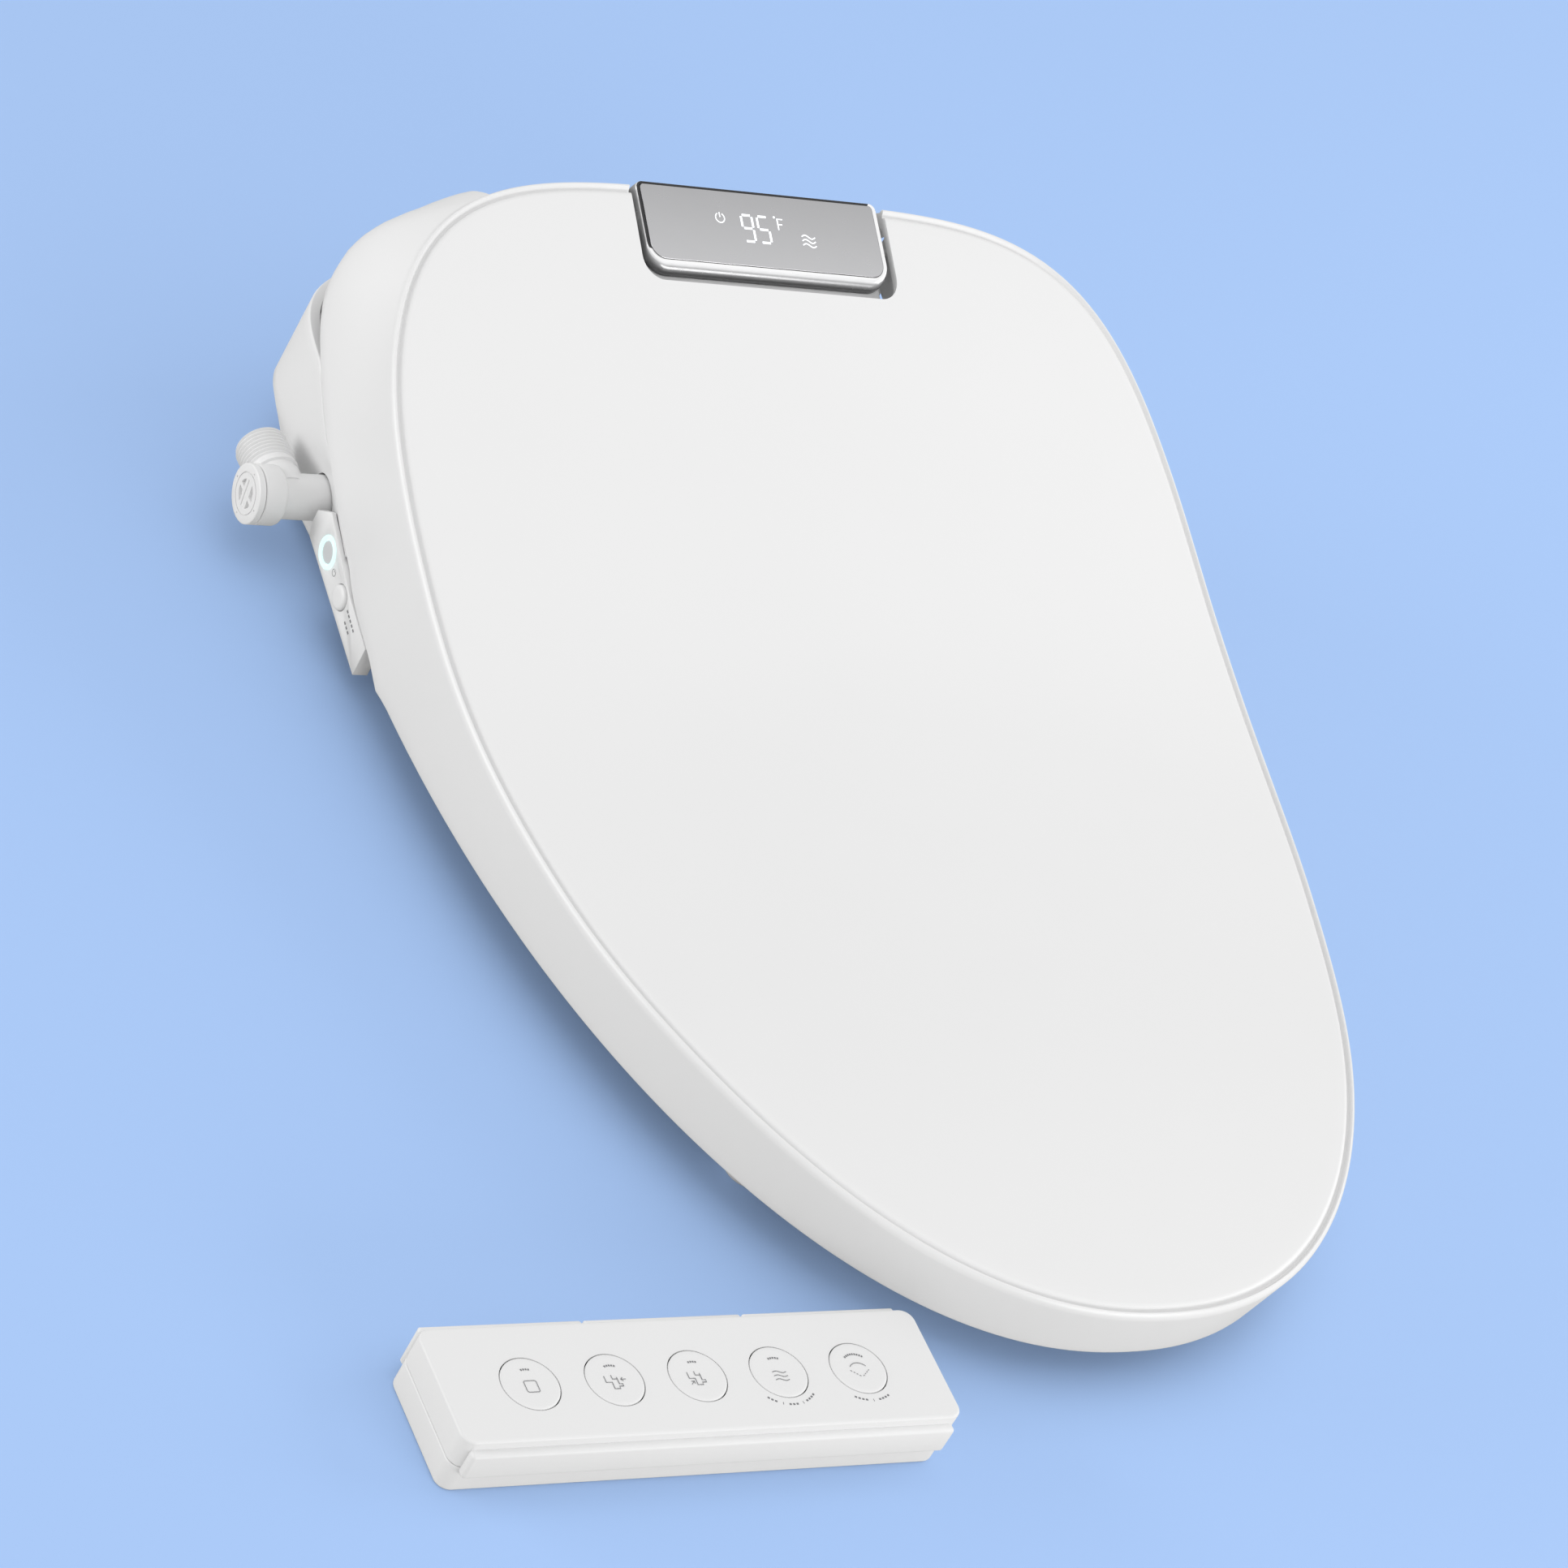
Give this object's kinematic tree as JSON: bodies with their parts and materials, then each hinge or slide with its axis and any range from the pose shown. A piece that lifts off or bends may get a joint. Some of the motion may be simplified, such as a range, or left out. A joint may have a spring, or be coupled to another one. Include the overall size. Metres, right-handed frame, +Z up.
{
  "type": "electric bidet seat",
  "caption": "Electric bidet seat with a wrap-round lid, heated seat ring, sliding wash nozzles, dryer, display block, side control panel, hose inlet tee and a button remote.",
  "frame": {"origin": "midpoint between the two slots of the mounting plate, on the plate's underside, in the plane of the bowl's rim", "axes": "+Y back towards the tank, +Z up, +X to the sitter's left; the lid's tip points along -Y"},
  "size_m": [0.4797, 0.5714, 0.1441],
  "materials": {
    "white_shell": "smooth white moulding, soft gloss",
    "white_satin": "satin white moulding",
    "grey_plastic": "grey moulding",
    "dark_plastic": "near-black moulding",
    "display_silver": "mirror-silver display window, glossy",
    "chrome_trim": "bright plated rim",
    "ring_lens": "lit cyan-white light ring",
    "steel": "plain steel",
    "rubber": "pale soft rubber",
    "circuit_green": "green circuit board",
    "copper_foil": "thin copper-coloured heater foil",
    "carbon": "porous black carbon block",
    "cell_label": "plain printed cell wrap"
  },
  "bodies": {
    "base": {"base_tray": "white_shell", "base_cover": "white_satin", "control_tower": "white_satin", "display_bezel": "chrome_trim", "display_glass": "display_silver", "display_board": "circuit_green", "hinge_shaft_left": "steel", "hinge_shaft_right": "steel", "lid_damper": "grey_plastic", "seat_damper": "grey_plastic", "base_pad_left": "rubber", "base_pad_right": "rubber", "side_panel_arm": "white_shell", "ring_lens": "ring_lens", "inlet_tee": "white_shell", "front_nozzle_motor": "steel", "rear_nozzle_motor": "steel", "nozzle_cradle": "grey_plastic", "blower_housing": "grey_plastic", "dryer_duct": "grey_plastic", "blower_motor": "steel", "solenoid_valve": "dark_plastic", "heater_tank": "grey_plastic", "water_pump": "grey_plastic", "diverter_valve": "grey_plastic", "power_supply": "steel", "control_board": "circuit_green", "cord_gland": "dark_plastic"},
    "seat": {"seat_upper_shell": "white_satin", "seat_lower_plate": "white_satin", "seat_heater_foil": "copper_foil", "seat_bumper_left": "rubber", "seat_bumper_right": "rubber"},
    "lid": {"lid_shell": "white_shell"},
    "plate": {"mounting_plate": "grey_plastic"},
    "power_key": {"power_button": "grey_plastic"},
    "wash_key": {"wash_button": "white_shell"},
    "cap": {"filter_cap": "white_shell"},
    "front_wand": {"front_nozzle": "white_satin"},
    "rear_wand": {"rear_nozzle": "white_satin"},
    "front_gear": {"front_pinion": "grey_plastic"},
    "rear_gear": {"rear_pinion": "grey_plastic"},
    "impeller": {"blower_impeller": "dark_plastic"},
    "flap": {"dryer_flap": "white_satin"},
    "release": {"release_button": "white_satin"},
    "drawer": {"deodoriser_drawer": "white_shell", "carbon_filter": "carbon"},
    "remote": {"remote_front_shell": "white_shell", "remote_back_shell": "white_shell", "remote_board": "circuit_green", "battery_pack": "cell_label"},
    "battery_door": {"battery_cover": "white_satin"},
    "stop_key": {"stop_button": "white_shell"},
    "front_wash_key": {"front_wash_button": "white_shell"},
    "rear_wash_key": {"rear_wash_button": "white_shell"},
    "dryer_key": {"dryer_button": "white_shell"},
    "oscillate_key": {"oscillate_button": "white_shell"},
    "rocker_left": {"top_key_left": "white_shell"},
    "rocker_middle": {"top_key_middle": "white_shell"},
    "rocker_right": {"top_key_right": "white_shell"}
  },
  "joints": [
    {"name": "seat_hinge", "type": "hinge", "parent": "base", "child": "seat", "pos_m": [0, 0.032, 0.126], "axis": [-1, 0, 0], "range_deg": [0, 95]},
    {"name": "lid_hinge", "type": "hinge", "parent": "seat", "child": "lid", "pos_m": [0, 0.032, 0.126], "axis": [1, 0, 0], "range_deg": [-100, 0]},
    {"name": "plate_slide", "type": "slide", "parent": "base", "child": "plate", "axis": [0, 1, 0], "range_m": [0, 0.05]},
    {"name": "power_press", "type": "slide", "parent": "base", "child": "power_key", "axis": [1, 0, 0], "range_m": [0, 0.0008], "stiffness_N_per_m": 100, "springref_m": -0.002},
    {"name": "wash_press", "type": "slide", "parent": "base", "child": "wash_key", "axis": [1, 0, 0], "range_m": [0, 0.001], "stiffness_N_per_m": 100, "springref_m": -0.002},
    {"name": "filter_cap_turn", "type": "hinge", "parent": "base", "child": "cap", "pos_m": [-0.208, -0.0225, 0.028], "axis": [-1, 0, 0], "range_deg": [0, 90]},
    {"name": "front_nozzle_slide", "type": "slide", "parent": "base", "child": "front_wand", "axis": [0, -0.9703, -0.2419], "range_m": [0, 0.075]},
    {"name": "rear_nozzle_slide", "type": "slide", "parent": "base", "child": "rear_wand", "axis": [0, -0.9703, -0.2419], "range_m": [0, 0.075]},
    {"name": "front_pinion_turn", "type": "hinge", "parent": "base", "child": "front_gear", "pos_m": [-0.0115, -0.03766, 0.04153], "axis": [-1, 0, 0], "range_deg": [0, 720]},
    {"name": "rear_pinion_turn", "type": "hinge", "parent": "base", "child": "rear_gear", "pos_m": [0.0115, -0.03766, 0.04153], "axis": [-1, 0, 0], "range_deg": [0, 720]},
    {"name": "blower_spin", "type": "hinge", "parent": "base", "child": "impeller", "pos_m": [0.064, -0.014, 0.02], "axis": [0, 0, 1], "continuous": true},
    {"name": "flap_hinge", "type": "hinge", "parent": "base", "child": "flap", "pos_m": [0.064, -0.0625, 0.029], "axis": [-1, 0, 0], "range_deg": [0, 70], "stiffness_Nm_per_rad": 0.001, "springref_deg": -17.19},
    {"name": "release_press", "type": "slide", "parent": "base", "child": "release", "axis": [-1, 0, 0], "range_m": [0, 0.003], "stiffness_N_per_m": 300, "springref_m": -0.002},
    {"name": "drawer_slide", "type": "slide", "parent": "base", "child": "drawer", "axis": [1, 0, 0], "range_m": [0, 0.045]},
    {"name": "remote_lift", "type": "slide", "parent": "base", "child": "remote", "axis": [0, 0, 1], "range_m": [0, 0.1]},
    {"name": "battery_door_slide", "type": "slide", "parent": "remote", "child": "battery_door", "axis": [1, 0, 0], "range_m": [0, 0.05]},
    {"name": "stop_press", "type": "slide", "parent": "remote", "child": "stop_key", "axis": [0, 0, -1], "range_m": [0, 0.0008], "stiffness_N_per_m": 400, "springref_m": -0.002},
    {"name": "front_wash_press", "type": "slide", "parent": "remote", "child": "front_wash_key", "axis": [0, 0, -1], "range_m": [0, 0.0008], "stiffness_N_per_m": 400, "springref_m": -0.002},
    {"name": "rear_wash_press", "type": "slide", "parent": "remote", "child": "rear_wash_key", "axis": [0, 0, -1], "range_m": [0, 0.0008], "stiffness_N_per_m": 400, "springref_m": -0.002},
    {"name": "dryer_press", "type": "slide", "parent": "remote", "child": "dryer_key", "axis": [0, 0, -1], "range_m": [0, 0.0008], "stiffness_N_per_m": 400, "springref_m": -0.002},
    {"name": "oscillate_press", "type": "slide", "parent": "remote", "child": "oscillate_key", "axis": [0, 0, -1], "range_m": [0, 0.0008], "stiffness_N_per_m": 400, "springref_m": -0.002},
    {"name": "rocker_left_press", "type": "slide", "parent": "remote", "child": "rocker_left", "axis": [0, -1, 0], "range_m": [0, 0.0006], "stiffness_N_per_m": 400, "springref_m": -0.002},
    {"name": "rocker_middle_press", "type": "slide", "parent": "remote", "child": "rocker_middle", "axis": [0, -1, 0], "range_m": [0, 0.0006], "stiffness_N_per_m": 400, "springref_m": -0.002},
    {"name": "rocker_right_press", "type": "slide", "parent": "remote", "child": "rocker_right", "axis": [0, -1, 0], "range_m": [0, 0.0006], "stiffness_N_per_m": 400, "springref_m": -0.002}
  ],
  "couplings": [
    {"joint": "front_pinion_turn", "follows": "front_nozzle_slide", "rad_per_m": 166.67},
    {"joint": "rear_pinion_turn", "follows": "rear_nozzle_slide", "rad_per_m": 166.67}
  ]
}
